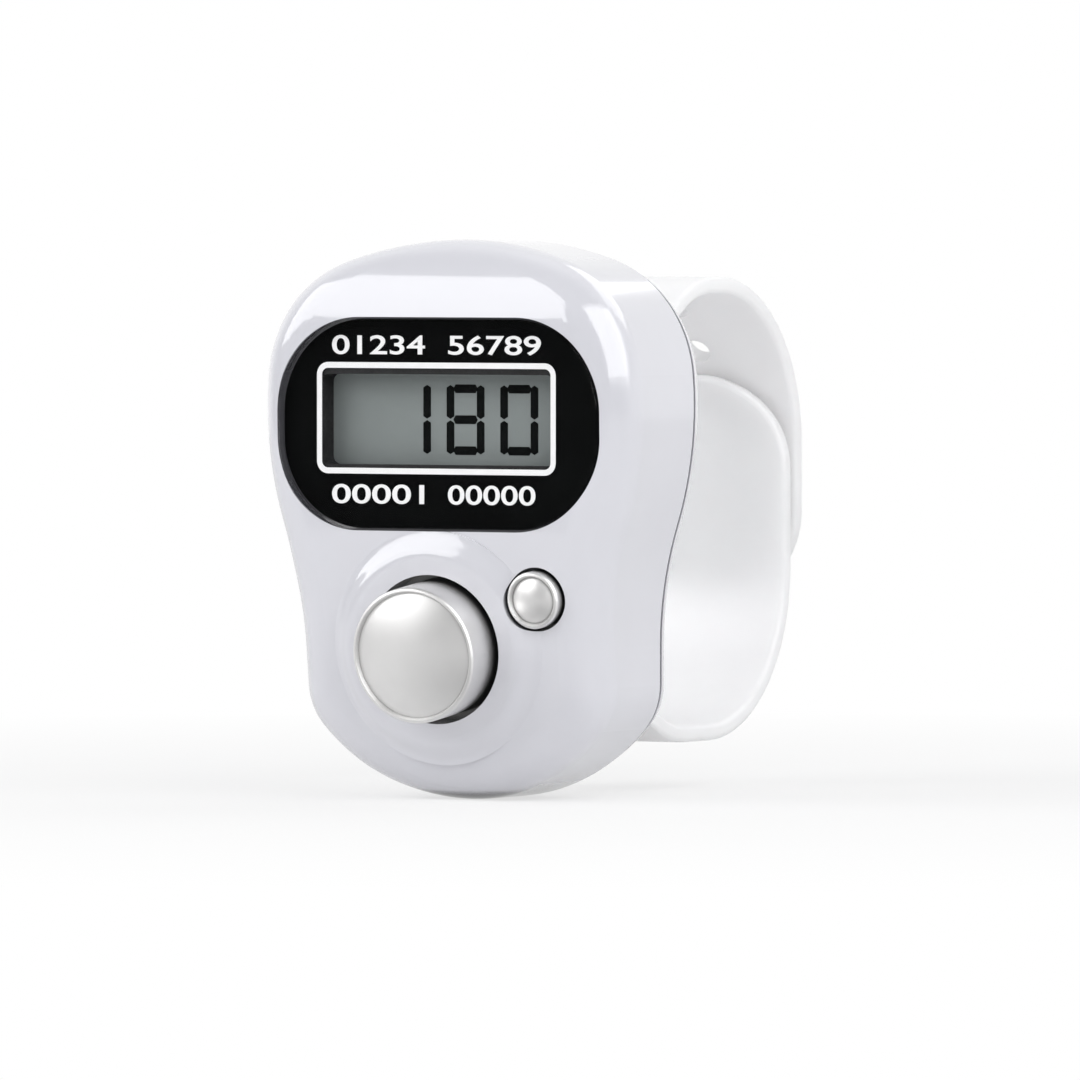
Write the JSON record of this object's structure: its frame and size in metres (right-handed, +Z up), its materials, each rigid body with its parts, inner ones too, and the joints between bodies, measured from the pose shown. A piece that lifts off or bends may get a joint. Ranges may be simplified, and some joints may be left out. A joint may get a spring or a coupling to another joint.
{
  "type": "finger tally counter",
  "caption": "Finger-worn digital counter: pear-shaped white case with a display window, a large count button, a small reset button and an adjustable strap.",
  "frame": {"origin": "middle of the finger space, between the back of the case and the strap, at the case's mid-height", "axes": "+X along the finger, to the right seen from the front; +Y from the face to the back; +Z up the face"},
  "size_m": [0.0304, 0.0478, 0.0402],
  "materials": {
    "case_white": "glossy moulded plastic",
    "clear_lens": "clear polished acrylic",
    "mask_black": "black printed film",
    "lcd_film": "satin polarising film",
    "lcd_glass": "clear glass",
    "lcd_reflector": "grey-green reflecting film",
    "inner_black": "matt moulded plastic",
    "foam_black": "open-cell foam",
    "zebra_rubber": "layered silicone rubber",
    "board_green": "solder-masked laminate",
    "capacitor_tan": "fired ceramic",
    "screw_steel": "zinc-plated",
    "switch_steel": "bright sheet",
    "button_silver": "satin silver plating",
    "cell_steel": "bright nickel-plated",
    "cell_seal_green": "moulded seal",
    "contact_nickel": "nickel-plated spring sheet",
    "strap_clear_white": "smooth translucent soft plastic"
  },
  "bodies": {
    "case": {"front_shell": "case_white", "rear_shell": "case_white", "display_lens": "clear_lens", "lens_mask": "mask_black", "lcd_polariser": "lcd_film", "lcd_front_glass": "lcd_glass", "lcd_rear_glass": "lcd_glass", "lcd_reflector": "lcd_reflector", "lcd_frame": "inner_black", "lcd_pad": "foam_black", "zebra_strip": "zebra_rubber", "circuit_board": "board_green", "chip_blob": "inner_black", "chip_capacitors": "capacitor_tan", "board_screws": "screw_steel", "case_screws": "screw_steel", "count_switch_base": "inner_black", "count_switch_cover": "switch_steel", "count_switch_dome": "switch_steel", "reset_switch_base": "inner_black", "reset_switch_cover": "switch_steel", "reset_switch_dome": "switch_steel", "cell_can": "cell_steel", "cell_seal": "cell_seal_green", "cell_cap": "cell_steel", "battery_contact_positive": "contact_nickel", "battery_contact_negative": "contact_nickel", "strap_upper": "strap_clear_white", "strap_lower": "strap_clear_white"},
    "count_key": {"count_button": "button_silver", "count_switch_plunger": "inner_black"},
    "reset_key": {"reset_button": "button_silver", "reset_switch_plunger": "inner_black"}
  },
  "joints": [
    {"name": "count_press", "type": "slide", "parent": "case", "child": "count_key", "axis": [0, 0.9925, 0.1219], "range_m": [0, 0.0008], "stiffness_N_per_m": 1500, "springref_m": -0.0005, "deforming": ["count_switch_dome"]},
    {"name": "reset_press", "type": "slide", "parent": "case", "child": "reset_key", "axis": [0, 0.9925, 0.1219], "range_m": [0, 0.0006], "stiffness_N_per_m": 1800, "springref_m": -0.0005, "deforming": ["reset_switch_dome"]}
  ]
}
